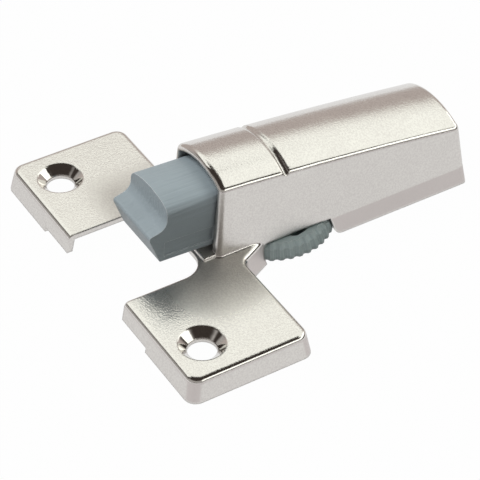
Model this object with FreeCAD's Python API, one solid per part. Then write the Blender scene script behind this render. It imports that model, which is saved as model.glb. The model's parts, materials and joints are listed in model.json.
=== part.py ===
import FreeCAD, Part
import math
import os

V = FreeCAD.Vector
ALONG_X = V(1, 0, 0)
ALONG_Y = V(0, 1, 0)
ALONG_Z = V(0, 0, 1)

# All sizes are in millimetres. While a shape is drawn, x = 0 is the middle of the part,
# y = 0 is the line through both screw holes, +Y runs towards the closed end of the housing
# and z = 0 is the mounting plane.

# Wing plates
HOLE_SPACING = 48.0
HOLE_RADIUS = 2.45
COUNTERSINK_RADIUS = 4.0
HOLE_PAD_RADIUS = 5.5
HOLE_PAD_THICKNESS = 2.2
PLATE_TOP = 4.4
PLATE_THICKNESS = 1.05
WING_OUTER = 31.1
WING_FRONT = -6.0
WING_REAR = 16.0
WING_CORNER_RADIUS = 2.2
WING_EDGE_RADIUS = 0.95
SKIRT_FLARE = 0.75
NECK_FLARE = 1.35
SKIRT_WALL = 1.0
FOOT_RELIEF = 0.9
FOOT_RELIEF_END = 17.3

# Wing sides, necks and sill, measured sideways from the side of the body
WING_GAP = 1.35
NECK_CORNER_REACH = 2.45
NECK_END_INSET = 0.55
SILL_INSET = 0.55

# Necks, and the bridge that joins the wings below the plunger
NECK_CORNER_RADIUS = 2.2
NECK_END_Y = 22.1
SEAM_RADIUS = 0.4
BRIDGE_FRONT = 9.75
BRIDGE_CORNER_RADIUS = 4.4
SILL_SETBACK = 0.4
SILL_EDGE_RADIUS = 0.4

# Housing body
CREASE_HEIGHT = 3.4
BODY_HALF_WIDTH = 8.15
BODY_FOOT_FLARE = 0.8
SIDE_DRAFT = math.radians(3.5)
FRONT_FACE = 12.4
FRONT_LEAN = math.radians(4.5)
REAR_FACE = 63.5
REAR_LEAN = math.radians(9.5)
REAR_FOOT_FLARE = 0.35
REAR_CORNER_RADIUS = 1.1
BODY_EDGE_RADIUS = 0.95
ROOF_START = 13.0
ROOF_APEX = 20.1
ROOF_START_SLOPE = math.radians(4.9)
ROOF_CROWN_RADIUS = 830.0
ROOF_ARCH_RADIUS = 13.0
ROOF_WALL = 1.0
GROOVE_CENTRE = 26.2
GROOVE_RADIUS = 0.75
GROOVE_RISE = 0.3
GROOVE_FLATS = 5

# Chamber of the damper
SIDE_WALL = 1.85
CHAMBER_REAR = 60.0
FLOOR_TOP = 5.0

# Underside
POCKET_TOP = 3.45
WALL = 1.25
BASE_PLATE_THICKNESS = 0.5
BASE_PLATE_INSET = 0.95
BASE_PLATE_FRONT = 15.2
BASE_PLATE_REAR = 61.8
BASE_PLATE_CORNER_RADIUS = 1.0
RIVET_PLACES = (43.4, 58.6)
RIVET_RADIUS = 1.0
RIVET_LENGTH = 3.0
RIVET_BOSS_RADIUS = 2.3

# Adjuster wheel: its rim is upright, then leans in at the shoulder and more at the crown.
# Each corner of a wave has its place along the wave and its share of the wave's depth.
WHEEL_CENTRE = 28.0
WHEEL_RADIUS = 11.1
WHEEL_WAVES = 40
WHEEL_WAVE_DEPTH = 0.32
WHEEL_WAVE_CORNERS = ((0.0, 1.0), (0.2, 1.0), (0.45, 0.0), (0.75, 0.0))
WHEEL_BOTTOM = 0.55
WHEEL_SHOULDER = 1.3
WHEEL_CROWN = 2.5
WHEEL_TOP = 3.2
WHEEL_SHOULDER_LEAN = 0.5
WHEEL_CROWN_LEAN = 0.9
WHEEL_ROOM = 0.2
NOTCH_LEAN = 0.5
NOTCH_FLARE_RADIUS = 1.6
PIN_RADIUS = 1.5
RUNNING_GAP = 0.05
SPIRAL_RADIUS = 6.0
SPIRAL_HALF_TURN = math.radians(90)
SPIRAL_SHIFT = 1.5
SPIRAL_DEPTH = 1.3
SPIRAL_ARCS = 4
FOLLOWER_RADIUS = 1.0
FOLLOWER_GAP = 0.2
WASHER_RADIUS = 3.0

# Damper axis: it starts in the mouth, midway between floor and roof, and dips towards the rear
AXIS_DIP = 3.0
PLUNGER_STROKE = 9.0

# Plunger, measured along and across the damper axis
PLUNGER_SIDE_GAP = 0.25
PLUNGER_TOP_ROOM = 1.65
PLUNGER_FLOOR_ROOM = 1.15
PLUNGER_ARCH_RADIUS = 16.0
PLUNGER_SHOULDER_RADIUS = 1.8
PLUNGER_REAR = 4.5
NOSE_FACE = -9.0
NOSE_TIP = -12.2
NOSE_TIP_TOP = -0.2
NOSE_TIP_BOTTOM = -0.9
NOSE_LIP_SLOPE = math.radians(16)
NOSE_HOLLOW_RADIUS = 2.2
NOSE_FOOT = -10.1
NOSE_TIP_RADIUS = 0.45
PANEL_FRONT = -9.35
PANEL_REAR = 0.1
PANEL_RISE = 0.9
PANEL_HIGH = -2.1
PANEL_DEPTH = 0.25

# Oil cylinder and what is in it, measured along the damper axis
CYLINDER_FLOOR_ROOM = 0.24
CYLINDER_WALL = 0.8
CYLINDER_FRONT = -5.0
CYLINDER_BORE_FRONT = -3.5
CYLINDER_REAR = 27.0
GUIDE_LENGTH = 2.6
GUIDE_RING_SIZE = 0.9
SEAL_LENGTH = 1.2
FOAM_LENGTH = 2.0
PISTON_FRONT = 16.5
PISTON_LENGTH = 3.0
PISTON_RING_SIZE = 0.8
ROD_RADIUS = 1.1
ROD_NECK_RADIUS = 0.8
ROD_END = 43.6
SPRING_SEAT_THICKNESS = 0.6
SPRING_SEAT_GAP = 0.2
SPRING_SPIGOT_GAP = 0.3
SPRING_SPIGOT_LENGTH = 1.4
SPRING_INSET = 0.5
SPRING_WIRE = 0.6
SPRING_TURNS = 4

# Carriage
TONGUE_FRONT = 31.4
TONGUE_SIDE_GAP = 1.3
TONGUE_THICKNESS = 1.0
UPRIGHT_SIDE_GAP = 0.7
UPRIGHT_FRONT = 38.2
UPRIGHT_THICKNESS = 4.0
UPRIGHT_STEP = 1.4
CLIP_THICKNESS = 0.6
CLIP_RADIUS = 2.2
CLIP_MOUTH = 1.5

# Sizes of the housing that follow from the ones above
HOLE_X = HOLE_SPACING / 2
PART_FRONT = WING_FRONT - SKIRT_FLARE
PART_REAR = REAR_FACE + REAR_FOOT_FLARE
ORIGIN = V(0, (PART_FRONT + PART_REAR) / 2, 0)
WING_INNER = BODY_HALF_WIDTH + WING_GAP
NECK_CORNER = BODY_HALF_WIDTH + NECK_CORNER_REACH
NECK_END_X = BODY_HALF_WIDTH - NECK_END_INSET
SILL_HALF_WIDTH = BODY_HALF_WIDTH - SILL_INSET
SILL_FRONT = BRIDGE_FRONT + SILL_SETBACK
CHAMBER_HALF_WIDTH = BODY_HALF_WIDTH - SIDE_WALL
BASE_PLATE_HALF_WIDTH = BODY_HALF_WIDTH - BASE_PLATE_INSET
WHEEL_CROWN_RADIUS = WHEEL_RADIUS - WHEEL_SHOULDER_LEAN
WHEEL_TOP_RADIUS = WHEEL_CROWN_RADIUS - WHEEL_CROWN_LEAN
WHEEL_POCKET_RADIUS = WHEEL_RADIUS + WHEEL_ROOM
NOTCH_REAR = WHEEL_CENTRE + math.sqrt((WHEEL_CROWN_RADIUS + WHEEL_ROOM) ** 2 - BODY_HALF_WIDTH ** 2)

# Sizes of the damper that follow from the ones above
SPIRAL_RISE = SPIRAL_SHIFT / SPIRAL_HALF_TURN
FOLLOWER_Y = WHEEL_CENTRE + SPIRAL_RADIUS
TONGUE_BOTTOM = FLOOR_TOP + RUNNING_GAP
TONGUE_TOP = TONGUE_BOTTOM + TONGUE_THICKNESS
TONGUE_HALF_WIDTH = CHAMBER_HALF_WIDTH - TONGUE_SIDE_GAP
AXIS_FALL = math.sin(math.radians(AXIS_DIP))
AXIS_HEIGHT = (FLOOR_TOP + ROOF_APEX - ROOF_WALL) / 2
AXIS_POINT = V(0, ROOF_START, AXIS_HEIGHT)
PLUNGER_HALF_WIDTH = CHAMBER_HALF_WIDTH - PLUNGER_SIDE_GAP
PLUNGER_APEX = ROOF_APEX - ROOF_WALL - PLUNGER_TOP_ROOM - AXIS_HEIGHT
PLUNGER_BOTTOM = FLOOR_TOP + PLUNGER_FLOOR_ROOM - AXIS_HEIGHT
PANEL_LOW = PLUNGER_BOTTOM + PANEL_RISE
CYLINDER_LOWEST = AXIS_HEIGHT - AXIS_FALL * (CYLINDER_REAR + PLUNGER_STROKE + SPIRAL_SHIFT)
CYLINDER_RADIUS = CYLINDER_LOWEST - TONGUE_TOP - CYLINDER_FLOOR_ROOM
CYLINDER_BORE = CYLINDER_RADIUS - CYLINDER_WALL
GUIDE_FRONT = CYLINDER_REAR - GUIDE_LENGTH
GUIDE_RING_FRONT = GUIDE_FRONT - GUIDE_RING_SIZE
SEAL_FRONT = GUIDE_RING_FRONT - SEAL_LENGTH
FOAM_FRONT = SEAL_FRONT - FOAM_LENGTH
PISTON_REAR = PISTON_FRONT + PISTON_LENGTH
SPRING_RADIUS = CYLINDER_BORE - SPRING_INSET
SPRING_SPIGOT_RADIUS = SPRING_RADIUS - SPRING_WIRE / 2 - SPRING_SPIGOT_GAP
UPRIGHT_REAR = UPRIGHT_FRONT + UPRIGHT_THICKNESS
UPRIGHT_HALF_WIDTH = CHAMBER_HALF_WIDTH - UPRIGHT_SIDE_GAP
UPRIGHT_TOP = CYLINDER_RADIUS - UPRIGHT_STEP
UPRIGHT_FOOT = TONGUE_BOTTOM - AXIS_HEIGHT + AXIS_FALL * UPRIGHT_REAR

# Reach of a cutting shape past the shape it cuts, and how near a point counts as on a line
BEYOND = 1.0
NEAR = 0.1


# Drawing helpers

def block(x0, x1, y0, y1, z0, z1):
    """Straight box between two opposite corners."""
    return Part.makeBox(x1 - x0, y1 - y0, z1 - z0, V(x0, y0, z0))


def post(radius, x, y, z0, z1):
    """Upright cylinder."""
    return Part.makeCylinder(radius, z1 - z0, V(x, y, z0))


def flat_face(points):
    """Flat face through its corners."""
    return Part.Face(Part.makePolygon(points + points[:1]))


def tapered(lower, z0, upper, z1):
    """Flat-sided solid between two outlines with as many (x, y) corners each, listed anticlockwise."""
    low = [V(x, y, z0) for x, y in lower]
    high = [V(x, y, z1) for x, y in upper]
    faces = [flat_face(low[::-1]), flat_face(high)]
    for i in range(len(low)):
        faces.append(flat_face([low[i - 1], low[i], high[i], high[i - 1]]))
    return Part.Solid(Part.Shell(faces))


def oblong(half_width, front, rear):
    """Corners of an upright rectangle seen from above."""
    return [(-half_width, front), (half_width, front), (half_width, rear), (-half_width, rear)]


def turned(points):
    """Solid of revolution about the Y axis from (radius, y) points."""
    return flat_face([V(r, y, 0) for r, y in points]).revolve(V(0, 0, 0), ALONG_Y, 360)


def ring(outer, inner, y0, y1):
    """Plain ring about the Y axis."""
    return turned([(inner, y0), (outer, y0), (outer, y1), (inner, y1)])


def rod(radius, y0, y1):
    """Plain cylinder along the Y axis."""
    return Part.makeCylinder(radius, y1 - y0, V(0, y0, 0), ALONG_Y)


def on_damper_axis(shape):
    """Carries a shape drawn along Y onto the dipping damper axis."""
    placed = shape.copy()
    placed.rotate(V(0, 0, 0), ALONG_X, -AXIS_DIP)
    placed.translate(AXIS_POINT)
    return placed


def mirrored(shape):
    """The same shape on the other side of the middle."""
    return shape.mirror(V(0, 0, 0), ALONG_X)


def edges_at(shape, test):
    """Edges whose middle point passes a test."""
    found = []
    for edge in shape.Edges:
        middle = edge.valueAt((edge.FirstParameter + edge.LastParameter) / 2)
        if test(middle):
            found.append(edge)
    return found


def upright_edges(shape, x, y):
    """Upright or leaning edges near one place on either side, halfway up the shape."""
    middle = shape.BoundBox.Center.z
    return edges_at(shape, lambda p: abs(abs(p.x) - x) < BEYOND and abs(p.y - y) < BEYOND
                    and abs(p.z - middle) < NEAR)


# Housing

def wing_corners(flare, neck_flare):
    """Both wings, the necks and the bridge, with the outer sides and the necks moved out by a flare each."""
    neck_run = V(NECK_END_X - NECK_CORNER, NECK_END_Y - WING_REAR, 0).normalize()
    right = [
        (WING_INNER, BRIDGE_FRONT),
        (WING_INNER, WING_FRONT - flare),
        (WING_OUTER + flare, WING_FRONT - flare),
        (WING_OUTER + flare, WING_REAR + flare),
        (NECK_CORNER + (neck_flare + flare * neck_run.x) / neck_run.y, WING_REAR + flare),
        (NECK_END_X + neck_flare / neck_run.y, NECK_END_Y),
    ]
    left = [(-x, y) for x, y in reversed(right)]
    return right + left


def wing_block():
    """Wings and bridge before hollowing, with the rounded corners and upper edge."""
    plate = tapered(wing_corners(SKIRT_FLARE, NECK_FLARE), 0, wing_corners(0, 0), PLATE_TOP)
    for x, y, radius in (
            (WING_OUTER, WING_FRONT, WING_CORNER_RADIUS),
            (WING_OUTER, WING_REAR, WING_CORNER_RADIUS),
            (NECK_CORNER, WING_REAR, NECK_CORNER_RADIUS),
            (WING_INNER, BRIDGE_FRONT, BRIDGE_CORNER_RADIUS)):
        plate = plate.makeFillet(radius, upright_edges(plate, x, y))

    def outer_upper_edge(p):
        on_top = abs(p.z - PLATE_TOP) < NEAR
        on_end = p.y > NECK_END_Y - NEAR
        on_inner_side = abs(p.x) < WING_INNER + NEAR and p.y < BRIDGE_FRONT + NEAR
        return on_top and not on_end and not on_inner_side

    return plate.makeFillet(WING_EDGE_RADIUS, edges_at(plate, outer_upper_edge))


def roof_solid(inset):
    """Everything below the crowned and arched roof, moved inwards by an inset."""
    centre_y = ROOF_START - ROOF_CROWN_RADIUS * math.sin(ROOF_START_SLOPE)
    centre_z = ROOF_APEX - ROOF_CROWN_RADIUS * math.cos(ROOF_START_SLOPE)
    apex = centre_z + ROOF_CROWN_RADIUS - inset
    arch = ROOF_ARCH_RADIUS - inset
    half = BODY_HALF_WIDTH + BODY_FOOT_FLARE + BEYOND
    edge = apex - arch + math.sqrt(arch ** 2 - half ** 2)
    low = apex - ROOF_APEX - BEYOND
    left_edge = V(-half, centre_y, edge)
    right_edge = V(half, centre_y, edge)
    section = Part.Wire([
        Part.Arc(left_edge, V(0, centre_y, apex), right_edge).toShape(),
        Part.makeLine(right_edge, V(half, centre_y, low)),
        Part.makeLine(V(half, centre_y, low), V(-half, centre_y, low)),
        Part.makeLine(V(-half, centre_y, low), left_edge),
    ])
    centre = V(0, centre_y, centre_z)
    first = math.degrees(math.asin((WING_FRONT - centre_y) / ROOF_CROWN_RADIUS))
    last = math.degrees(math.asin((PART_REAR + ROOF_START - centre_y) / ROOF_CROWN_RADIUS))
    section.rotate(centre, ALONG_X, -first)
    return Part.Face(section).revolve(centre, ALONG_X, first - last)


def roof_height(y):
    """Height of the roof's middle line."""
    run = y - ROOF_START
    return ROOF_APEX - run * math.tan(ROOF_START_SLOPE) - run ** 2 / (2 * ROOF_CROWN_RADIUS)


def roof_edge_height(y):
    """Height of the line where the roof meets the side walls."""
    half = BODY_HALF_WIDTH - (roof_height(y) - CREASE_HEIGHT) * math.tan(SIDE_DRAFT)
    return roof_height(y) - ROOF_ARCH_RADIUS + math.sqrt(ROOF_ARCH_RADIUS ** 2 - half ** 2)


def body_block():
    """Arched body before hollowing, with its rounded edges and the flared foot below its crease."""
    top = ROOF_APEX + BEYOND
    rise = top - CREASE_HEIGHT
    foot_front = ROOF_START + BEYOND
    foot = oblong(BODY_HALF_WIDTH + BODY_FOOT_FLARE, foot_front, PART_REAR)
    foot_crease = oblong(BODY_HALF_WIDTH, foot_front, REAR_FACE)
    crease = oblong(BODY_HALF_WIDTH, FRONT_FACE, REAR_FACE)
    upper_end = oblong(BODY_HALF_WIDTH - rise * math.tan(SIDE_DRAFT),
                       FRONT_FACE + rise * math.tan(FRONT_LEAN),
                       REAR_FACE - rise * math.tan(REAR_LEAN))
    body = tapered(crease, CREASE_HEIGHT, upper_end, top)
    body = body.fuse(tapered(foot, 0, foot_crease, CREASE_HEIGHT)).removeSplitter()

    def rear_corner(p):
        on_level = any(abs(p.z - level) < NEAR for level in (0, CREASE_HEIGHT, top))
        return p.y > CHAMBER_REAR and abs(p.x) > NEAR and not on_level

    body = body.makeFillet(REAR_CORNER_RADIUS, edges_at(body, rear_corner)).common(roof_solid(0))

    def roof_or_front_edge(p):
        on_front = p.y < ROOF_START + BEYOND and p.z > PLATE_TOP
        on_roof = p.z > roof_edge_height(p.y) - BEYOND
        return on_front or on_roof

    return body.makeFillet(BODY_EDGE_RADIUS, edges_at(body, roof_or_front_edge))


def sill():
    """Low pad in front of the mouth, at the height of the chamber floor."""
    pad = block(-SILL_HALF_WIDTH, SILL_HALF_WIDTH, SILL_FRONT, ROOF_START, PLATE_TOP - BEYOND, FLOOR_TOP)

    def upper_edge(p):
        return p.z > FLOOR_TOP - NEAR and p.y < ROOF_START - NEAR

    return pad.makeFillet(SILL_EDGE_RADIUS, edges_at(pad, upper_edge))


def chamber():
    """Space for the damper, open at the front."""
    space = block(-CHAMBER_HALF_WIDTH, CHAMBER_HALF_WIDTH, SILL_FRONT - BEYOND, CHAMBER_REAR,
                  FLOOR_TOP, ROOF_APEX + BEYOND)
    return space.common(roof_solid(ROOF_WALL))


def roof_groove():
    """Hollow groove that follows the arch across the roof, turned about the centre of the arch."""
    centre_z = roof_height(GROOVE_CENTRE) - ROOF_ARCH_RADIUS
    profile = []
    for i in range(GROOVE_FLATS + 1):
        angle = math.pi * i / GROOVE_FLATS
        profile.append(V(0, GROOVE_CENTRE + GROOVE_RADIUS * math.cos(angle),
                         centre_z + ROOF_ARCH_RADIUS + GROOVE_RISE - GROOVE_RADIUS * math.sin(angle)))
    return flat_face(profile).revolve(V(0, GROOVE_CENTRE, centre_z), ALONG_Y, 360)


def wing_pocket():
    """Hollow below one wing. The plate stays thicker around the screw hole."""
    inner = WING_INNER - SKIRT_WALL / 2
    ceiling = PLATE_TOP - PLATE_THICKNESS

    def corners(flare):
        outer = WING_OUTER + flare - SKIRT_WALL
        front = WING_FRONT - flare + SKIRT_WALL
        rear = WING_REAR + flare - SKIRT_WALL
        return [(inner, front), (outer, front), (outer, rear), (inner, rear)]

    hollow = tapered(corners(SKIRT_FLARE), 0, corners(0), ceiling)
    outer_edges = upright_edges(hollow, WING_OUTER - SKIRT_WALL, WING_FRONT + SKIRT_WALL)
    outer_edges += upright_edges(hollow, WING_OUTER - SKIRT_WALL, WING_REAR - SKIRT_WALL)
    hollow = hollow.makeFillet(WING_CORNER_RADIUS - SKIRT_WALL / 2, outer_edges)
    pad = post(HOLE_PAD_RADIUS, HOLE_X, 0, PLATE_TOP - HOLE_PAD_THICKNESS, PLATE_TOP)
    return hollow.cut(pad)


def screw_hole():
    """Countersunk hole of one wing."""
    cone_depth = COUNTERSINK_RADIUS - HOLE_RADIUS
    cone = Part.makeCone(HOLE_RADIUS, COUNTERSINK_RADIUS, cone_depth, V(HOLE_X, 0, PLATE_TOP - cone_depth))
    return cone.fuse(post(HOLE_RADIUS, HOLE_X, 0, 0, PLATE_TOP))


def foot_relief():
    """Lifts the inner part of the front skirt off the mounting plane."""
    return block(WING_INNER - BEYOND, FOOT_RELIEF_END, PART_FRONT - BEYOND, WING_FRONT + SKIRT_WALL,
                 -BEYOND, FOOT_RELIEF)


def wheel_room():
    """Round pocket that follows the wheel's rim, with the flared notches in both side walls."""
    crown = WHEEL_CROWN_RADIUS + WHEEL_ROOM
    room = flat_face([
        V(0, WHEEL_CENTRE, -BEYOND),
        V(WHEEL_POCKET_RADIUS, WHEEL_CENTRE, -BEYOND),
        V(WHEEL_POCKET_RADIUS, WHEEL_CENTRE, WHEEL_SHOULDER),
        V(crown, WHEEL_CENTRE, WHEEL_CROWN),
        V(crown - WHEEL_CROWN_LEAN, WHEEL_CENTRE, POCKET_TOP),
        V(0, WHEEL_CENTRE, POCKET_TOP),
    ]).revolve(V(0, WHEEL_CENTRE, 0), ALONG_Z, 360)
    flare_y = NOTCH_REAR + NOTCH_LEAN
    flare_end = flare_y + NOTCH_FLARE_RADIUS
    diagonal = NOTCH_FLARE_RADIUS * (1 - math.sqrt(0.5))
    side = BODY_HALF_WIDTH + BODY_FOOT_FLARE + BEYOND
    corner = V(-side, NOTCH_REAR, CREASE_HEIGHT)
    flare_top = V(-side, flare_y, NOTCH_FLARE_RADIUS)
    flare_foot = V(-side, flare_end, 0)
    low_rear = V(-side, flare_end, -BEYOND)
    low_front = V(-side, WHEEL_CENTRE, -BEYOND)
    high_front = V(-side, WHEEL_CENTRE, CREASE_HEIGHT)
    profile = Part.Wire([
        Part.makeLine(high_front, corner),
        Part.makeLine(corner, flare_top),
        Part.Arc(flare_top, V(-side, flare_y + diagonal, diagonal), flare_foot).toShape(),
        Part.makeLine(flare_foot, low_rear),
        Part.makeLine(low_rear, low_front),
        Part.makeLine(low_front, high_front),
    ])
    across = V(side + side, 0, 0)
    return room.fuse(Part.Face(profile).extrude(across))


def bridge_pocket():
    """Hollow below the bridge, open at the front."""
    half = SILL_HALF_WIDTH - WALL / 2
    rear = WHEEL_CENTRE - WHEEL_POCKET_RADIUS - WALL
    return block(-half, half, BRIDGE_FRONT - BEYOND, rear, -BEYOND, POCKET_TOP)


def rear_pocket():
    """Hollow behind the wheel, with a boss for each rivet."""
    half = BODY_HALF_WIDTH - WALL
    front = WHEEL_CENTRE + WHEEL_POCKET_RADIUS + WALL
    hollow = block(-half, half, front, CHAMBER_REAR + WALL / 2, -BEYOND, POCKET_TOP)
    for y in RIVET_PLACES:
        hollow = hollow.cut(post(RIVET_BOSS_RADIUS, 0, y, -BEYOND, POCKET_TOP))
    return hollow


def base_plate_blank(gap):
    """Base plate without its holes, widened by a gap."""
    half = BASE_PLATE_HALF_WIDTH + gap
    plate = block(-half, half, BASE_PLATE_FRONT - gap, BASE_PLATE_REAR + gap, 0, BASE_PLATE_THICKNESS)
    corners = upright_edges(plate, half, BASE_PLATE_FRONT) + upright_edges(plate, half, BASE_PLATE_REAR)
    return plate.makeFillet(BASE_PLATE_CORNER_RADIUS, corners)


def follower_slot():
    """Slot in the chamber floor for the follower pin."""
    half = FOLLOWER_RADIUS + FOLLOWER_GAP
    front = FOLLOWER_Y - SPIRAL_SHIFT
    rear = FOLLOWER_Y + SPIRAL_SHIFT
    slot = block(-half, half, front, rear, POCKET_TOP - BEYOND, FLOOR_TOP + BEYOND)
    for y in (front, rear):
        slot = slot.fuse(post(half, 0, y, POCKET_TOP - BEYOND, FLOOR_TOP + BEYOND))
    return slot


def on_seam(p):
    """True where the sides of the body rise from the wing plate, beside the sill."""
    on_plate = abs(p.z - PLATE_TOP) < NEAR
    beside_body = SILL_HALF_WIDTH + NEAR < abs(p.x) < BODY_HALF_WIDTH + NEAR
    return on_plate and beside_body and p.y > BRIDGE_FRONT + NEAR


def housing():
    """The one-piece casting."""
    shell = body_block().fuse([wing_block(), sill()]).removeSplitter()
    shell = shell.makeFillet(SEAM_RADIUS, edges_at(shell, on_seam))
    cuts = [chamber(), roof_groove(), wheel_room(), bridge_pocket(), rear_pocket(), follower_slot(),
            base_plate_blank(RUNNING_GAP), post(PIN_RADIUS, 0, WHEEL_CENTRE, 0, FLOOR_TOP + BEYOND)]
    for side_cut in (wing_pocket(), screw_hole(), foot_relief()):
        cuts.append(side_cut)
        cuts.append(mirrored(side_cut))
    cuts += [rivet(y) for y in RIVET_PLACES]
    return shell.cut(cuts).removeSplitter()


# Pieces fixed to the housing

def base_plate():
    """Thin plate that closes the underside of the body."""
    plate = base_plate_blank(0)
    return plate.cut([rivet(y) for y in RIVET_PLACES])


def rivet(y):
    """Straight rivet, flush with the mounting plane."""
    return post(RIVET_RADIUS, 0, y, 0, RIVET_LENGTH)


def base_plate_rivets():
    """Both rivets of the base plate."""
    return Part.makeCompound([rivet(y) for y in RIVET_PLACES])


def wheel_pin():
    """Pivot between the base plate and the chamber floor."""
    return post(PIN_RADIUS, 0, WHEEL_CENTRE, BASE_PLATE_THICKNESS, FLOOR_TOP)


def friction_washer():
    """Thin washer between the wheel and the floor of the chamber."""
    washer = post(WASHER_RADIUS, 0, WHEEL_CENTRE, WHEEL_TOP, POCKET_TOP)
    return washer.cut(post(PIN_RADIUS, 0, WHEEL_CENTRE, WHEEL_TOP, POCKET_TOP))


# Adjuster wheel

def wheel_rim(radius, z):
    """Rim of the wheel at one height: bumps with a flat crest and narrower valleys."""
    pitch = 2 * math.pi / WHEEL_WAVES
    points = []
    for i in range(WHEEL_WAVES):
        for place, depth in WHEEL_WAVE_CORNERS:
            angle = pitch * (i + place)
            reach = radius - WHEEL_WAVE_DEPTH * depth
            points.append(V(reach * math.cos(angle), reach * math.sin(angle), z))
    return Part.makePolygon(points + points[:1])


def wheel_blank():
    """Wavy disc whose rim leans in towards the top."""
    disc = Part.Face(wheel_rim(WHEEL_RADIUS, WHEEL_BOTTOM)).extrude(V(0, 0, WHEEL_SHOULDER - WHEEL_BOTTOM))
    rims = [wheel_rim(WHEEL_RADIUS, WHEEL_SHOULDER), wheel_rim(WHEEL_CROWN_RADIUS, WHEEL_CROWN),
            wheel_rim(WHEEL_TOP_RADIUS, WHEEL_TOP)]
    return disc.fuse(Part.makeLoft(rims, True, True))


def spiral_groove():
    """Groove whose radius grows evenly with the angle, with round ends."""
    half = FOLLOWER_RADIUS + FOLLOWER_GAP
    bottom = WHEEL_TOP - SPIRAL_DEPTH

    def on_spiral(offset, turn):
        radius = SPIRAL_RADIUS + SPIRAL_RISE * turn + offset
        angle = math.pi / 2 - turn
        return V(radius * math.cos(angle), radius * math.sin(angle), bottom)

    def side(offset):
        reach = SPIRAL_HALF_TURN / SPIRAL_ARCS
        middles = [reach * (2 * i + 1 - SPIRAL_ARCS) for i in range(SPIRAL_ARCS)]
        arcs = []
        for middle in middles:
            places = [on_spiral(offset, turn) for turn in (middle - reach, middle, middle + reach)]
            arcs.append(Part.Arc(*places).toShape())
        return arcs

    ends = (-SPIRAL_HALF_TURN, SPIRAL_HALF_TURN)
    caps = [Part.makeLine(on_spiral(-half, turn), on_spiral(half, turn)) for turn in ends]
    outline = Part.Wire(Part.__sortEdges__(side(-half) + side(half) + caps))
    groove = Part.Face(outline).extrude(V(0, 0, SPIRAL_DEPTH))
    for turn in ends:
        groove = groove.fuse(Part.makeCylinder(half, SPIRAL_DEPTH, on_spiral(0, turn)))
    return groove


def adjuster_wheel():
    """Wavy thumb wheel with its spiral groove and pivot bore."""
    bore = post(PIN_RADIUS + RUNNING_GAP, 0, 0, 0, PLATE_TOP)
    wheel = wheel_blank().cut([spiral_groove(), bore])
    wheel.translate(V(0, WHEEL_CENTRE, 0))
    return wheel


# Plunger

def plunger_section():
    """Cross-section with the arched top, as a wire across the damper axis."""
    half = PLUNGER_HALF_WIDTH
    edge = PLUNGER_APEX - PLUNGER_ARCH_RADIUS + math.sqrt(PLUNGER_ARCH_RADIUS ** 2 - half ** 2)
    left = V(-half, NOSE_TIP - BEYOND, edge)
    right = V(half, NOSE_TIP - BEYOND, edge)
    low_left = V(-half, NOSE_TIP - BEYOND, PLUNGER_BOTTOM)
    low_right = V(half, NOSE_TIP - BEYOND, PLUNGER_BOTTOM)
    return Part.Wire([
        Part.Arc(left, V(0, NOSE_TIP - BEYOND, PLUNGER_APEX), right).toShape(),
        Part.makeLine(right, low_right),
        Part.makeLine(low_right, low_left),
        Part.makeLine(low_left, left),
    ])


def nose_side_view():
    """Side view of the plunger with the beak, as a face in the middle plane."""
    lip_rise = (NOSE_FACE - NOSE_TIP) * math.tan(NOSE_LIP_SLOPE)
    top = PLUNGER_APEX + BEYOND
    points = [
        V(0, NOSE_FACE, top),
        V(0, NOSE_FACE, NOSE_TIP_TOP + lip_rise),
        V(0, NOSE_TIP, NOSE_TIP_TOP),
        V(0, NOSE_TIP, NOSE_TIP_BOTTOM),
        V(0, NOSE_FOOT, PLUNGER_BOTTOM),
        V(0, PLUNGER_REAR, PLUNGER_BOTTOM),
        V(0, PLUNGER_REAR, top),
    ]
    return flat_face(points)


def plunger():
    """Moulded head with the beak-like nose, side panels and the cylinder socket."""
    bar = Part.Face(plunger_section()).extrude(V(0, PLUNGER_REAR - NOSE_TIP + BEYOND, 0))
    shoulders = edges_at(bar, lambda p: abs(abs(p.x) - PLUNGER_HALF_WIDTH) < NEAR and p.z > 0
                         and NOSE_TIP < p.y < PLUNGER_REAR - BEYOND)
    bar = bar.makeFillet(PLUNGER_SHOULDER_RADIUS, shoulders)
    side = nose_side_view()
    side.translate(V(-PLUNGER_HALF_WIDTH - BEYOND, 0, 0))
    prism = side.extrude(V(PLUNGER_HALF_WIDTH + BEYOND, 0, 0) * 2)
    lip_root = NOSE_TIP_TOP + (NOSE_FACE - NOSE_TIP) * math.tan(NOSE_LIP_SLOPE)
    hollow = edges_at(prism, lambda p: abs(p.z - lip_root) < NEAR and abs(p.y - NOSE_FACE) < NEAR)
    prism = prism.makeFillet(NOSE_HOLLOW_RADIUS, hollow)
    tip = edges_at(prism, lambda p: abs(p.z - NOSE_TIP_TOP) < NEAR and abs(p.y - NOSE_TIP) < NEAR)
    prism = prism.makeFillet(NOSE_TIP_RADIUS, tip)
    head = bar.common(prism)
    for panel_side in (-1, 1):
        inner = panel_side * (PLUNGER_HALF_WIDTH - PANEL_DEPTH)
        outer = panel_side * (PLUNGER_HALF_WIDTH + BEYOND)
        head = head.cut(block(min(inner, outer), max(inner, outer), PANEL_FRONT, PANEL_REAR,
                              PANEL_LOW, PANEL_HIGH))
    head = head.cut(rod(CYLINDER_RADIUS, CYLINDER_FRONT, PLUNGER_REAR + BEYOND))
    return on_damper_axis(head)


# Damper

def damper_cylinder():
    """Oil cylinder, closed at the front."""
    tube = rod(CYLINDER_RADIUS, CYLINDER_FRONT, CYLINDER_REAR)
    return on_damper_axis(tube.cut(rod(CYLINDER_BORE, CYLINDER_BORE_FRONT, CYLINDER_REAR)))


def rod_guide():
    """Plug at the rear of the cylinder that guides the rod."""
    return on_damper_axis(ring(CYLINDER_BORE, ROD_RADIUS + RUNNING_GAP, GUIDE_FRONT, CYLINDER_REAR))


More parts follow.
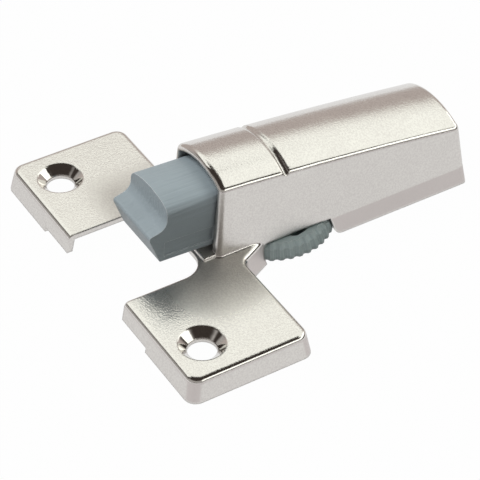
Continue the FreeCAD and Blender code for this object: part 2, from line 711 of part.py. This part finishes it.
def guide_ring():
    """Ring that is pressed between the plug and the seal."""
    return on_damper_axis(ring(CYLINDER_BORE, CYLINDER_BORE - GUIDE_RING_SIZE, GUIDE_RING_FRONT, GUIDE_FRONT))


def rod_seal():
    """Seal on the rod."""
    return on_damper_axis(ring(CYLINDER_BORE, ROD_RADIUS + RUNNING_GAP, SEAL_FRONT, GUIDE_RING_FRONT))


def compensating_foam():
    """Foam ring that makes room for the rod."""
    return on_damper_axis(ring(CYLINDER_BORE, ROD_RADIUS + RUNNING_GAP, FOAM_FRONT, SEAL_FRONT))


def piston():
    """Piston with a groove for its ring, riveted on the rod's neck."""
    body = ring(CYLINDER_BORE - RUNNING_GAP, ROD_NECK_RADIUS, PISTON_FRONT, PISTON_REAR)
    return on_damper_axis(body.cut(piston_ring_shape(BEYOND)))


def piston_ring_shape(extra):
    """Ring in the piston's groove, made wider outwards by an extra."""
    outer = CYLINDER_BORE - RUNNING_GAP / 2
    front = PISTON_FRONT + (PISTON_LENGTH - PISTON_RING_SIZE) / 2
    return ring(outer + extra, outer - PISTON_RING_SIZE, front, front + PISTON_RING_SIZE)


def piston_ring():
    """Throttle ring of the piston."""
    return on_damper_axis(piston_ring_shape(0))


def piston_rod():
    """Rod with a neck for the piston and a groove for the clip."""
    return on_damper_axis(turned([
        (0, PISTON_FRONT),
        (ROD_NECK_RADIUS, PISTON_FRONT),
        (ROD_NECK_RADIUS, PISTON_REAR),
        (ROD_RADIUS, PISTON_REAR),
        (ROD_RADIUS, UPRIGHT_REAR),
        (ROD_NECK_RADIUS, UPRIGHT_REAR),
        (ROD_NECK_RADIUS, UPRIGHT_REAR + CLIP_THICKNESS),
        (ROD_RADIUS, UPRIGHT_REAR + CLIP_THICKNESS),
        (ROD_RADIUS, ROD_END),
        (0, ROD_END),
    ]))


def spring_seat():
    """Disc with a spigot that centres the spring at the closed end."""
    rear = CYLINDER_BORE_FRONT + SPRING_SEAT_THICKNESS
    disc_radius = CYLINDER_BORE - SPRING_SEAT_GAP
    return on_damper_axis(turned([
        (0, CYLINDER_BORE_FRONT),
        (disc_radius, CYLINDER_BORE_FRONT),
        (disc_radius, rear),
        (SPRING_SPIGOT_RADIUS, rear),
        (SPRING_SPIGOT_RADIUS, rear + SPRING_SPIGOT_LENGTH),
        (0, rear + SPRING_SPIGOT_LENGTH),
    ]))


def return_spring():
    """Coil spring of square wire between its seat and the piston."""
    half = SPRING_WIRE / 2
    front = CYLINDER_BORE_FRONT + SPRING_SEAT_THICKNESS + half
    length = PISTON_FRONT - half - front
    path = Part.makeHelix(length / SPRING_TURNS, length, SPRING_RADIUS)
    inner = SPRING_RADIUS - half
    outer = SPRING_RADIUS + half
    section = [V(inner, 0, -half), V(outer, 0, -half), V(outer, 0, half), V(inner, 0, half)]
    wire = Part.makePolygon(section + section[:1])
    coil = Part.Wire(path.Edges).makePipeShell([wire], True, True)
    coil.rotate(V(0, 0, 0), ALONG_X, -90)
    coil.translate(V(0, front, 0))
    return on_damper_axis(coil)


# Carriage

def carriage():
    """Sled on the chamber floor with the upright that holds the rod."""
    upright = on_damper_axis(block(-UPRIGHT_HALF_WIDTH, UPRIGHT_HALF_WIDTH, UPRIGHT_FRONT, UPRIGHT_REAR,
                                   UPRIGHT_FOOT, UPRIGHT_TOP))
    rear = upright.BoundBox.YMax - BEYOND
    tongue = block(-TONGUE_HALF_WIDTH, TONGUE_HALF_WIDTH, TONGUE_FRONT, rear, TONGUE_BOTTOM, TONGUE_TOP)
    rod_hole = on_damper_axis(rod(ROD_RADIUS, UPRIGHT_FRONT - BEYOND, UPRIGHT_REAR + BEYOND))
    pin_hole = post(FOLLOWER_RADIUS, 0, FOLLOWER_Y, 0, PLATE_TOP + TONGUE_TOP)
    return upright.fuse(tongue).cut([rod_hole, pin_hole])


def follower_pin():
    """Pin from the carriage down into the spiral groove."""
    bottom = WHEEL_TOP - SPIRAL_DEPTH + FOLLOWER_GAP
    return post(FOLLOWER_RADIUS, 0, FOLLOWER_Y, bottom, TONGUE_TOP)


def rod_clip():
    """Open ring that holds the rod behind the upright."""
    clip = ring(CLIP_RADIUS, ROD_NECK_RADIUS, UPRIGHT_REAR, UPRIGHT_REAR + CLIP_THICKNESS)
    mouth = block(-CLIP_MOUTH / 2, CLIP_MOUTH / 2, UPRIGHT_REAR - BEYOND, UPRIGHT_REAR + BEYOND,
                  0, CLIP_RADIUS + BEYOND)
    return on_damper_axis(clip.cut(mouth))


# Every node of the part is written to its own file

NODES = (housing, base_plate, base_plate_rivets, wheel_pin, friction_washer, adjuster_wheel,
         carriage, follower_pin, piston_rod, rod_clip, piston, piston_ring,
         plunger, damper_cylinder, rod_guide, guide_ring, rod_seal, compensating_foam,
         spring_seat, return_spring)

os.makedirs("parts", exist_ok=True)
for node in NODES:
    shape = node()
    shape.translate(-ORIGIN)
    shape.exportStep("parts/" + node.__name__ + ".step")
    print(node.__name__, shape.isValid(), len(shape.Solids), round(shape.Volume, 2))
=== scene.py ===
"""Looks of a soft close damper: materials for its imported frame, a white table, a studio and a camera."""

import json
import math

import bpy
from bpy.props import FloatProperty, FloatVectorProperty, PointerProperty
from mathutils import Matrix, Vector


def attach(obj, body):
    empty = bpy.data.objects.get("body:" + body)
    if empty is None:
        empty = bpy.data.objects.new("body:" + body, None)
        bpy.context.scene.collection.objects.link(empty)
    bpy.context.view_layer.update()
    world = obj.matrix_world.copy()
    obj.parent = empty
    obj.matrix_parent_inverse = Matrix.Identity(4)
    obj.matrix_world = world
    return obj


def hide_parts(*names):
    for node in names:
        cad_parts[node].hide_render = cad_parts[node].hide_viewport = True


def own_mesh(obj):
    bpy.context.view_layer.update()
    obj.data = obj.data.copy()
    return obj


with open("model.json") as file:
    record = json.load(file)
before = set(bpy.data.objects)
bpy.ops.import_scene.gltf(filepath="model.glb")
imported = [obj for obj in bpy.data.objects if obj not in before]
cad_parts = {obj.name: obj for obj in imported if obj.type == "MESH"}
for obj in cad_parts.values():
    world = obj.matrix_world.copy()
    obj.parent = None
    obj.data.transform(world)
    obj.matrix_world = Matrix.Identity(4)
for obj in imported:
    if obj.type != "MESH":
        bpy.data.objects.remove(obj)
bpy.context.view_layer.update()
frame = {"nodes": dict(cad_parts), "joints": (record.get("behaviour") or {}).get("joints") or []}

bl_info = {
    "name": "Soft close damper looks",
    "version": (1, 0, 0),
    "blender": (4, 5, 0),
    "location": "3D View > Sidebar > Damper",
    "description": "Gives the packed soft close damper its materials, table, studio light and camera",
    "category": "Object",
}

# Nodes of the frame that share a finish
PLATED_NODES = ("housing",)
PLUNGER_NODES = ("plunger", "damper_cylinder")
WHEEL_NODES = ("adjuster_wheel",)
ZINC_NODES = ("base_plate", "base_plate_rivets")
STEEL_NODES = ("wheel_pin", "friction_washer", "follower_pin", "piston_rod", "rod_clip")
BLACK_NODES = ("carriage", "piston", "rod_guide", "spring_seat")
RUBBER_NODES = ("piston_ring", "guide_ring", "rod_seal", "compensating_foam")

# Air between the shortened spring and its seat, and between the table and the mounting plane
SPRING_AIR = 0.00005
TABLE_AIR = 0.00005

# Upward part of the normal, 0 on a wall and 1 on a top, where one kind of surface turns into the next; the
# skirts and foot between wall and edge get painted shade
WALL_TO_SKIRT = (0.185, 0.215)
SKIRT_TO_EDGE = (0.30, 0.36)
EDGE_TO_TOP = (0.90, 0.96)

# Where the frosted plates by the necks end, in metres: sideways from the middle, forwards and upwards
NECK_TO_WING = (0.013, 0.024)
FRONT_TO_NECK = (-0.030, -0.022)
PLATE_TO_ROOF = (0.006, 0.008)

# How far the rounded normal turns from the face where the painted highlight on an edge of a moulding starts
# and is at its palest
PAINTED_HIGHLIGHT_TURN = (0.004, 0.08)

# Rays that look for the edges around each point
EDGE_SAMPLES = 8

# Noise values between which a grain of the plating turns from dull to bright
GRAIN_STEP = (0.35, 0.65)

# Degrees above the horizon over which each panel of the studio starts and over which it ends
LEFT_CARD_HEIGHTS = ((0, 6), (20, 26))
FRONT_CARD_HEIGHTS = ((2, 10), (34, 42))
BACK_CARD_HEIGHTS = ((-10, -2), (40, 44))
BACK_PANEL_HEIGHTS = ((30, 40), (60, 63))
SIDE_PANEL_HEIGHTS = ((19, 22), (35, 38))

# How far beside, in front of or behind the object each panel starts, as a share of the whole distance
LEFT_CARD_FROM = (0.4, 0.6)
FRONT_CARD_FROM = (0.12, 0.30)
BACK_CARD_FROM = (0.3, 0.6)
BACK_PANEL_FROM = (0.03, 0.08)
SIDE_PANEL_FROM = (0.55, 0.62)


# Properties that a user would change

def colour(name, description, default):
    """Colour property without alpha, in linear light."""
    return FloatVectorProperty(name=name, description=description, default=default, size=3, subtype="COLOR",
                               min=0.0, max=1.0)


def length(name, description, default):
    """Length property in metres."""
    return FloatProperty(name=name, description=description, default=default, min=0.0, precision=6,
                         unit="LENGTH", subtype="DISTANCE")


def share(name, description, default):
    """Plain number from 0 to 1."""
    return FloatProperty(name=name, description=description, default=default, min=0.0, max=1.0,
                         subtype="FACTOR")


def level(name, description, default):
    """Brightness, where 1 is white."""
    return FloatProperty(name=name, description=description, default=default, min=0.0, max=8.0)


class PlatingLook(bpy.types.PropertyGroup):
    """Satin nickel plate on the casting."""

    tone: colour("Tone", "Colour of the plating", (0.80, 0.78, 0.745))
    worn_tone: colour("Cloud tone", "Colour of the duller clouds in the plating", (0.64, 0.61, 0.59))
    # Painted shade: a darker, pinkish tone on the skirts and foot that stands in for the shaded floor they
    # mirror
    skirt_painted_shade_tone: colour("Skirt tone", "Colour of the duller skirts and foot", (0.61, 0.56, 0.545))
    skirt_painted_shade_share: share("Skirt dulling", "How much of the skirt tone the skirts and foot take", 0.85)
    grain_share: share("Grain share", "How much of the speckle comes from the grain, not the clouds", 0.5)
    wall_roughness: share("Wall roughness", "Mean roughness of the walls and skirts", 0.36)
    top_roughness: share("Top roughness", "Mean roughness of the tops and the roof", 0.18)
    neck_roughness: share("Neck roughness", "Mean roughness of the frosted plates by the necks", 0.58)
    edge_roughness: share("Edge roughness", "Roughness of the edges, which tumbling has polished", 0.05)
    roughness_spread: share("Roughness spread", "How much the clouds change the roughness", 0.10)
    cloud_size: length("Cloud size", "Width of the clouds in the plating", 0.006)
    wave_size: length("Wave size", "Width of the soft waves of the cast skin", 0.0022)
    wave_depth: length("Wave depth", "Depth of the soft waves of the cast skin", 0.000012)
    grain_size: length("Grain size", "Width of the grains of the cast skin", 0.0003)
    grain_depth: length("Grain depth", "Depth of the grains of the cast skin", 0.00003)
    edge_radius: length("Edge radius", "Rounding that the sharp edges show", 0.0005)


class MouldingLook(bpy.types.PropertyGroup):
    """Moulded plastic and rubber pieces."""

    plunger_tone: colour("Plunger tone", "Colour of the plunger and its cylinder", (0.28, 0.332, 0.362))
    wheel_tone: colour("Wheel tone", "Colour of the adjuster wheel", (0.31, 0.375, 0.38))
    black_tone: colour("Black tone", "Colour of the black inner pieces", (0.03, 0.03, 0.033))
    rubber_tone: colour("Rubber tone", "Colour of the seals and the foam", (0.018, 0.018, 0.018))
    tone_spread: share("Tone spread", "How much the colour varies over a piece", 0.12)
    roughness: share("Roughness", "Mean roughness of the plastic", 0.44)
    rubber_roughness: share("Rubber roughness", "Mean roughness of the rubber", 0.75)
    cloud_size: length("Cloud size", "Width of the colour clouds", 0.004)
    grain_size: length("Grain size", "Width of the texture of the mould", 0.00016)
    grain_depth: length("Grain depth", "Depth of the texture of the mould", 0.0000035)
    edge_radius: length("Edge radius", "Rounding that the sharp edges show", 0.00012)
    # Painted highlight: edges are painted paler where the rounded normal turns away from the face
    edge_painted_highlight: share("Edge light", "How much paler the edges are", 0.4)
    drag_width: length("Drag width", "Width of the drag lines along the plunger", 0.0006)
    drag_length: length("Drag length", "Length of the drag lines along the plunger", 0.03)
    drag_depth: length("Drag depth", "Depth of the drag lines along the plunger", 0.00012)


class SteelLook(bpy.types.PropertyGroup):
    """Sheet and drawn steel pieces."""

    zinc_tone: colour("Zinc tone", "Colour of the zinc-plated base plate", (0.56, 0.57, 0.59))
    bright_tone: colour("Bright tone", "Colour of the pins, the rod and the spring", (0.58, 0.58, 0.58))
    roughness: share("Roughness", "Mean roughness of the steel", 0.30)
    roughness_spread: share("Roughness spread", "How much the streaks change the roughness", 0.16)
    streak_width: length("Streak width", "Width of the rolling and drawing streaks", 0.0003)
    streak_length: length("Streak length", "Length of the rolling and drawing streaks", 0.012)
    streak_depth: length("Streak depth", "Depth of the rolling and drawing streaks", 0.000002)


class StageLook(bpy.types.PropertyGroup):
    """Table, studio and camera."""

    table_tone: colour("Table tone", "Colour of the table", (0.30, 0.30, 0.30))
    table_spread: share("Table spread", "How much the table's colour varies", 0.02)
    table_size: length("Table size", "Width of the table", 6.0)
    seen_white: share("Seen white", "How much of the table that the camera sees is plain white", 0.985)
    mirrored_white: share("Mirrored white", "How much of the table that metal mirrors is plain white", 0.84)
    room_tone: colour("Room tone", "Colour of the dark part of the studio", (0.05, 0.041, 0.036))
    card_tone: colour("Card tone", "Colour of the card far behind the object", (0.54, 0.48, 0.45))
    front_tone: colour("Front tone", "Colour of the cards on the left and in front", (0.45, 0.43, 0.41))
    panel_tone: colour("Panel tone", "Colour of the light panels", (0.98, 1.0, 0.94))
    panel_level: level("Panel level", "Brightness of the panel behind the object", 1.25)
    side_level: level("Side level", "Brightness of the panel to the right", 2.2)
    sun_level: level("Sun level", "Strength of the soft light on plastic and table", 2.5)
    sun_angle: FloatProperty(name="Sun angle", description="Width of the soft light",
                             default=math.radians(45), subtype="ANGLE")
    sun_from: FloatVectorProperty(name="Sun from", description="Direction that the soft light comes from",
                                  size=3, default=(-0.20, -0.46, 0.86), subtype="DIRECTION")
    camera_place: FloatVectorProperty(name="Camera place", description="Where the camera stands", size=3,
                                      default=(0.234041, -0.154932, 0.240706), subtype="TRANSLATION",
                                      unit="LENGTH")
    camera_aim: FloatVectorProperty(name="Camera aim", description="Point in the middle of the picture",
                                    size=3, default=(0.009395, -0.012523, 0.008), subtype="TRANSLATION",
                                    unit="LENGTH")
    camera_roll: FloatProperty(name="Camera roll", description="Turn of the camera about its view",
                               default=math.radians(1.089), subtype="ANGLE")
    camera_lens: FloatProperty(name="Camera lens", description="Focal length in mm on a 36 mm sensor",
                               default=160.0, min=10.0)


class DamperLooks(bpy.types.PropertyGroup):
    """All looks of the damper."""

    plating: PointerProperty(type=PlatingLook)
    moulding: PointerProperty(type=MouldingLook)
    steel: PointerProperty(type=SteelLook)
    stage: PointerProperty(type=StageLook)


# Shader arithmetic

class Signal:
    """Shader socket that can be used in Python arithmetic."""

    def __init__(self, sheet, socket):
        self.sheet = sheet
        self.socket = socket

    def __add__(self, other):
        return self.sheet.maths("ADD", self, other)

    def __sub__(self, other):
        return self.sheet.maths("SUBTRACT", self, other)

    def __rsub__(self, other):
        return self.sheet.maths("SUBTRACT", other, self)

    def __mul__(self, other):
        return self.sheet.maths("MULTIPLY", self, other)

    __radd__ = __add__
    __rmul__ = __mul__


class Sheet:
    """Node tree of one material or world, filled from empty."""

    def __init__(self, owner):
        owner.use_nodes = True
        self.tree = owner.node_tree
        self.tree.nodes.clear()

    def node(self, kind, settings=None, sockets=None, output=0):
        """Adds a node, sets it up, fills its sockets with values or signals and returns one output."""
        made = self.tree.nodes.new(kind)
        for name, value in (settings or {}).items():
            setattr(made, name, value)
        for name, value in (sockets or {}).items():
            if isinstance(value, Signal):
                self.tree.links.new(value.socket, made.inputs[name])
            else:
                made.inputs[name].default_value = value
        if made.outputs:
            return Signal(self, made.outputs[output])
        return None

    def maths(self, operation, first, second):
        """One step of arithmetic between signals and numbers."""
        return self.node("ShaderNodeMath", {"operation": operation}, {0: first, 1: second})

    def mix(self, factor, first, second):
        """Colour between two colours, each a tone or a signal."""
        first, second = [tone if isinstance(tone, Signal) else (*tone, 1.0) for tone in (first, second)]
        return self.node("ShaderNodeMix", {"data_type": "RGBA"}, {0: factor, 6: first, 7: second}, output=2)

    def along(self, vector, direction):
        """Length of a vector along a direction."""
        return self.node("ShaderNodeVectorMath", {"operation": "DOT_PRODUCT"}, {0: vector, 1: direction},
                         output="Value")

    def step(self, signal, low, high):
        """Smooth step from 0 to 1 between two values."""
        return self.node("ShaderNodeMapRange", {"interpolation_type": "SMOOTHSTEP"},
                         {"Value": signal, "From Min": low, "From Max": high})

    def place(self):
        """Place on the object in metres."""
        return self.node("ShaderNodeTexCoord", output="Object")

    def stretched(self, place, width, run):
        """Place squeezed along Y, so that spots of a width become lines of a run."""
        squeeze = (1.0, width / run, 1.0)
        return self.node("ShaderNodeVectorMath", {"operation": "MULTIPLY"}, {0: place, 1: squeeze})

    def noise(self, place, size, detail):
        """Soft noise from 0 to 1 with spots of a size in metres."""
        return self.node("ShaderNodeTexNoise", sockets={"Vector": place, "Scale": 1 / size, "Detail": detail})

    def rounded(self, edge_radius):
        """Normal of the surface with its edges rounded."""
        return self.node("ShaderNodeBevel", {"samples": EDGE_SAMPLES}, {"Radius": edge_radius})

    def relief(self, height, rounded):
        """Normal of a rounded surface with a height in metres on it."""
        return self.node("ShaderNodeBump", sockets={"Strength": 1.0, "Distance": 1.0, "Height": height,
                                                    "Normal": rounded})

    def surface(self, tone, roughness, metallic, normal):
        """Closes the material with a principled surface."""
        shader = self.node("ShaderNodeBsdfPrincipled", sockets={
            "Base Color": tone, "Roughness": roughness, "Metallic": metallic, "Normal": normal})
        self.node("ShaderNodeOutputMaterial", sockets={"Surface": shader})


# Materials

def darker(tone, amount):
    """Tone with a share of its light taken away."""
    return tuple(part * (1 - amount) for part in tone)


def paler(tone, amount):
    """Tone moved a share of the way to white."""
    return tuple(part + (1 - part) * amount for part in tone)


def plated_material(look):
    """Satin nickel on a die-cast skin: clouds, soft waves and fine grain, painted shade on the skirts and
    foot, and polished edges.
    """
    material = bpy.data.materials.new("plated_casting")
    sheet = Sheet(material)
    place = sheet.place()
    clouds = sheet.noise(place, look.cloud_size, detail=4)
    waves = sheet.noise(place, look.wave_size, detail=2)
    grain = sheet.noise(place, look.grain_size, detail=3)
    rounded = sheet.rounded(look.edge_radius)
    lean = sheet.along(rounded, (0, 0, 1))
    edge_start = sheet.step(lean, *SKIRT_TO_EDGE)
    # Mask of the skirts and foot, which take the painted shade
    skirts = sheet.step(lean, *WALL_TO_SKIRT) - edge_start
    top_start = sheet.step(lean, *EDGE_TO_TOP)
    edges = edge_start - top_start
    sideways = sheet.maths("MAXIMUM", sheet.along(place, (1, 0, 0)), sheet.along(place, (-1, 0, 0)))
    inwards = 1 - sheet.step(sideways, *NECK_TO_WING)
    rearwards = sheet.step(sheet.along(place, (0, 1, 0)), *FRONT_TO_NECK)
    below_roof = 1 - sheet.step(sheet.along(place, (0, 0, 1)), *PLATE_TO_ROOF)
    necks = top_start * inwards * rearwards * below_roof
    speckle = (1 - look.grain_share) * clouds + look.grain_share * sheet.step(grain, *GRAIN_STEP)
    plate = sheet.mix(speckle, look.worn_tone, look.tone)
    # Painted shade: the skirts and foot take the darker skirt tone in place of the shaded floor they mirror
    tone = sheet.mix(look.skirt_painted_shade_share * skirts, plate, look.skirt_painted_shade_tone)
    uneven = look.wall_roughness + look.roughness_spread * (clouds - 0.5)
    smoother = (look.wall_roughness - look.edge_roughness) * edge_start
    frosted = (look.neck_roughness - look.top_roughness) * necks
    roughness = uneven - smoother + (look.top_roughness - look.edge_roughness) * top_start + frosted
    height = look.wave_depth * waves + look.grain_depth * grain * (1 - edges)
    sheet.surface(tone, roughness, 1.0, sheet.relief(height, rounded))
    return material


def moulded_material(name, tone, roughness, drag_depth, look):
    """Moulded plastic or rubber with faint clouds, the texture of its mould, lines along its length and a
    painted highlight on its edges.
    """
    material = bpy.data.materials.new(name)
    sheet = Sheet(material)
    place = sheet.place()
    clouds = sheet.noise(place, look.cloud_size, detail=3)
    grain = sheet.noise(place, look.grain_size, detail=2)
    drag = sheet.noise(sheet.stretched(place, look.drag_width, look.drag_length), look.drag_width, detail=1)
    rounded = sheet.rounded(look.edge_radius)
    turned = 1 - sheet.along(rounded, sheet.node("ShaderNodeNewGeometry", output="Normal"))
    body = sheet.mix(clouds, darker(tone, look.tone_spread), tone)
    # Painted highlight: the edges take a paler tone where the rounded normal turns from the face
    tones = sheet.mix(sheet.step(turned, *PAINTED_HIGHLIGHT_TURN), body, paler(tone, look.edge_painted_highlight))
    uneven = roughness + look.tone_spread * (grain - 0.5)
    height = look.grain_depth * grain + drag_depth * drag
    sheet.surface(tones, uneven, 0.0, sheet.relief(height, rounded))
    return material


def steel_material(name, tone, look):
    """Steel with streaks along its length."""
    material = bpy.data.materials.new(name)
    sheet = Sheet(material)
    place = sheet.stretched(sheet.place(), look.streak_width, look.streak_length)
    streaks = sheet.noise(place, look.streak_width, detail=2)
    tones = sheet.mix(streaks, darker(tone, look.roughness_spread), tone)
    roughness = look.roughness + look.roughness_spread * (streaks - 0.5)
    normal = sheet.relief(look.streak_depth * streaks, sheet.rounded(look.streak_width))
    sheet.surface(tones, roughness, 1.0, normal)
    return material


def give_material(names, material):
    """Puts one material on the named nodes of the frame."""
    for name in names:
        node = frame["nodes"][name]
        node.data.materials.clear()
        node.data.materials.append(material)


# Return spring

def show_shortening_spring(material):
    """Copy of the return spring hung on the carriage's empty in place of the hidden rigid node, which cannot
    shorten; the share of its length that it would keep over the plunger's way is worked out but not applied
    to the copy.
    """
    coil = bpy.data.objects.new("return_spring_coil", frame["nodes"]["return_spring"].data.copy())
    bpy.context.scene.collection.objects.link(coil)
    coil.data.materials.clear()
    coil.data.materials.append(material)
    slide = next(joint for joint in frame["joints"] if joint["name"] == "plunger_slide")
    axis = Vector(slide["axis"])
    places = [axis.dot(vertex.co) for vertex in coil.data.vertices]
    front, rear = min(places), max(places)
    travel = max(slide["range_m"])
    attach(coil, "carriage")
    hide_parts("return_spring")
    keep = 1 - (travel + SPRING_AIR) / (rear - front)
    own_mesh(coil)


# Stage

def table_material(look):
    """Pale table that is seen as nearly white and keeps a soft shadow."""
    material = bpy.data.materials.new("table")
    sheet = Sheet(material)
    clouds = sheet.noise(sheet.place(), look.table_size, detail=2)
    tone = sheet.mix(clouds, darker(look.table_tone, look.table_spread), look.table_tone)
    lit = sheet.node("ShaderNodeBsdfPrincipled", sockets={"Base Color": tone, "Roughness": 1.0,
                                                          "Specular IOR Level": 0.0})
    white = sheet.node("ShaderNodeEmission", sockets={"Color": (1.0, 1.0, 1.0, 1.0), "Strength": 1.0})
    camera, glossy, through = [sheet.node("ShaderNodeLightPath", output=ray)
                               for ray in ("Is Camera Ray", "Is Glossy Ray", "Is Transmission Ray")]
    mirrored = sheet.maths("MAXIMUM", glossy, through)
    shown = look.seen_white * camera + look.mirrored_white * mirrored
    shader = sheet.node("ShaderNodeMixShader", sockets={0: shown, 1: lit, 2: white})
    sheet.node("ShaderNodeOutputMaterial", sockets={"Surface": shader})
    return material


def build_table(look):
    """Flat table just below the mounting plane."""
    half = look.table_size / 2
    corners = [(-half, -half), (half, -half), (half, half), (-half, half)]
    mesh = bpy.data.meshes.new("table")
    mesh.from_pydata([(*corner, -TABLE_AIR) for corner in corners], [], [(0, 1, 2, 3)])
    mesh.materials.append(table_material(look))
    table = bpy.data.objects.new("table", mesh)
    bpy.context.scene.collection.objects.link(table)


def sine(degrees):
    """Height of a direction at an angle above the horizon."""
    return math.sin(math.radians(degrees))


def build_studio(look):
    """Dark room with cards on the left, in front and behind, and light panels behind and to the right."""
    world = bpy.data.worlds.new("studio")
    bpy.context.scene.world = world
    sheet = Sheet(world)
    view = Vector(look.camera_aim) - Vector(look.camera_place)
    view.z = 0
    view.normalize()
    heading = sheet.node("ShaderNodeTexCoord", output="Generated")
    up = sheet.along(heading, (0, 0, 1))
    far = sheet.along(heading, view)
    right = sheet.along(heading, (view.y, -view.x, 0))

    def glow(tone, strength):
        return sheet.node("ShaderNodeBackground", sockets={"Color": (*tone, 1.0), "Strength": strength})

    panels = (
        (glow(look.front_tone, 1.0), LEFT_CARD_HEIGHTS, 0 - right, LEFT_CARD_FROM),
        (glow(look.front_tone, 1.0), FRONT_CARD_HEIGHTS, 0 - far, FRONT_CARD_FROM),
        (glow(look.card_tone, 1.0), BACK_CARD_HEIGHTS, far, BACK_CARD_FROM),
        (glow(look.panel_tone, look.panel_level), BACK_PANEL_HEIGHTS, far, BACK_PANEL_FROM),
        (glow(look.panel_tone, look.side_level), SIDE_PANEL_HEIGHTS, right, SIDE_PANEL_FROM),
    )
    shader = glow(look.room_tone, 1.0)
    for panel, heights, way, start in panels:
        lower, upper = [sheet.step(up, sine(first), sine(full)) for first, full in heights]
        mask = (lower - upper) * sheet.step(way, *start)
        shader = sheet.node("ShaderNodeMixShader", sockets={0: mask, 1: shader, 2: panel})
    sheet.node("ShaderNodeOutputWorld", sockets={"Surface": shader})


def build_sun(look):
    """Wide soft light on plastic and table, which metal does not mirror."""
    data = bpy.data.lights.new("sun", "SUN")
    data.energy = look.sun_level
    data.angle = look.sun_angle
    sun = bpy.data.objects.new("sun", data)
    sun.rotation_euler = Vector(look.sun_from).to_track_quat("Z", "Y").to_euler()
    sun.visible_glossy = False
    bpy.context.scene.collection.objects.link(sun)


def build_camera(look):
    """Long lens, aimed at the object and turned a little about its view."""
    data = bpy.data.cameras.new("camera")
    data.lens = look.camera_lens
    camera = bpy.data.objects.new("camera", data)
    place = Vector(look.camera_place)
    turn = (Vector(look.camera_aim) - place).to_track_quat("-Z", "Y")
    camera.matrix_world = Matrix.Translation(place) @ turn.to_matrix().to_4x4() @ Matrix.Rotation(
        look.camera_roll, 4, "Z")
    bpy.context.scene.collection.objects.link(camera)
    bpy.context.scene.camera = camera


# Operators

class DAMPER_OT_plate_housing(bpy.types.Operator):
    """Give the casting its satin nickel plate"""

    bl_idname = "damper.plate_housing"
    bl_label = "Plate housing"

    def execute(self, context):
        give_material(PLATED_NODES, plated_material(context.scene.damper_looks.plating))
        return {"FINISHED"}


class DAMPER_OT_finish_plunger(bpy.types.Operator):
    """Give the plunger and its cylinder their grey plastic"""

    bl_idname = "damper.finish_plunger"
    bl_label = "Finish plunger"

    def execute(self, context):
        look = context.scene.damper_looks.moulding
        give_material(PLUNGER_NODES, moulded_material("grey_plastic", look.plunger_tone, look.roughness,
                                                      look.drag_depth, look))
        return {"FINISHED"}


class DAMPER_OT_finish_wheel(bpy.types.Operator):
    """Give the adjuster wheel its grey-green plastic"""

    bl_idname = "damper.finish_wheel"
    bl_label = "Finish wheel"

    def execute(self, context):
        look = context.scene.damper_looks.moulding
        give_material(WHEEL_NODES, moulded_material("grey_green_plastic", look.wheel_tone, look.roughness,
                                                    0.0, look))
        return {"FINISHED"}


class DAMPER_OT_finish_steel(bpy.types.Operator):
    """Give the base plate, pins and rod their steel"""

    bl_idname = "damper.finish_steel"
    bl_label = "Finish steel pieces"

    def execute(self, context):
        look = context.scene.damper_looks.steel
        give_material(ZINC_NODES, steel_material("zinc_plated_steel", look.zinc_tone, look))
        give_material(STEEL_NODES, steel_material("bright_steel", look.bright_tone, look))
        return {"FINISHED"}


class DAMPER_OT_fit_return_spring(bpy.types.Operator):
    """Show the return spring as a copy hung on the carriage"""

    bl_idname = "damper.fit_return_spring"
    bl_label = "Fit return spring"

    def execute(self, context):
        look = context.scene.damper_looks.steel
        show_shortening_spring(steel_material("spring_steel", look.bright_tone, look))
        return {"FINISHED"}


class DAMPER_OT_finish_inner_pieces(bpy.types.Operator):
    """Give the carriage, piston and seals their black plastic and rubber"""

    bl_idname = "damper.finish_inner_pieces"
    bl_label = "Finish inner pieces"

    def execute(self, context):
        look = context.scene.damper_looks.moulding
        give_material(BLACK_NODES, moulded_material("black_plastic", look.black_tone, look.roughness,
                                                    0.0, look))
        give_material(RUBBER_NODES, moulded_material("black_rubber", look.rubber_tone,
                                                     look.rubber_roughness, 0.0, look))
        return {"FINISHED"}


class DAMPER_OT_build_stage(bpy.types.Operator):
    """Build the table, the studio and the camera"""

    bl_idname = "damper.build_stage"
    bl_label = "Build stage"

    def execute(self, context):
        look = context.scene.damper_looks.stage
        build_table(look)
        build_studio(look)
        build_sun(look)
        build_camera(look)
        context.scene.view_settings.view_transform = "Standard"
        return {"FINISHED"}


class DAMPER_PT_looks(bpy.types.Panel):
    """Lists the steps that give the damper its looks"""

    bl_idname = "DAMPER_PT_looks"
    bl_label = "Soft close damper"
    bl_space_type = "VIEW_3D"
    bl_region_type = "UI"
    bl_category = "Damper"

    def draw(self, context):
        looks = context.scene.damper_looks
        for operator in OPERATORS:
            self.layout.operator(operator.bl_idname)
        for group in (looks.plating, looks.moulding, looks.steel, looks.stage):
            box = self.layout.box()
            for name in group.__annotations__:
                box.prop(group, name)


GROUPS = (PlatingLook, MouldingLook, SteelLook, StageLook, DamperLooks)
OPERATORS = (DAMPER_OT_plate_housing, DAMPER_OT_finish_plunger, DAMPER_OT_finish_wheel,
             DAMPER_OT_finish_steel, DAMPER_OT_fit_return_spring, DAMPER_OT_finish_inner_pieces,
             DAMPER_OT_build_stage)
CLASSES = GROUPS + OPERATORS + (DAMPER_PT_looks,)


def register():
    """Makes the classes known and gives each scene its looks."""
    for entry in CLASSES:
        bpy.utils.register_class(entry)
    bpy.types.Scene.damper_looks = PointerProperty(type=DamperLooks)


def unregister():
    """Takes back what register did."""
    del bpy.types.Scene.damper_looks
    for entry in reversed(CLASSES):
        bpy.utils.unregister_class(entry)


def main():
    """Runs every step in order."""
    register()
    bpy.ops.damper.plate_housing()
    bpy.ops.damper.finish_plunger()
    bpy.ops.damper.finish_wheel()
    bpy.ops.damper.finish_steel()
    bpy.ops.damper.fit_return_spring()
    bpy.ops.damper.finish_inner_pieces()
    bpy.ops.damper.build_stage()


if __name__ == "__main__":
    main()
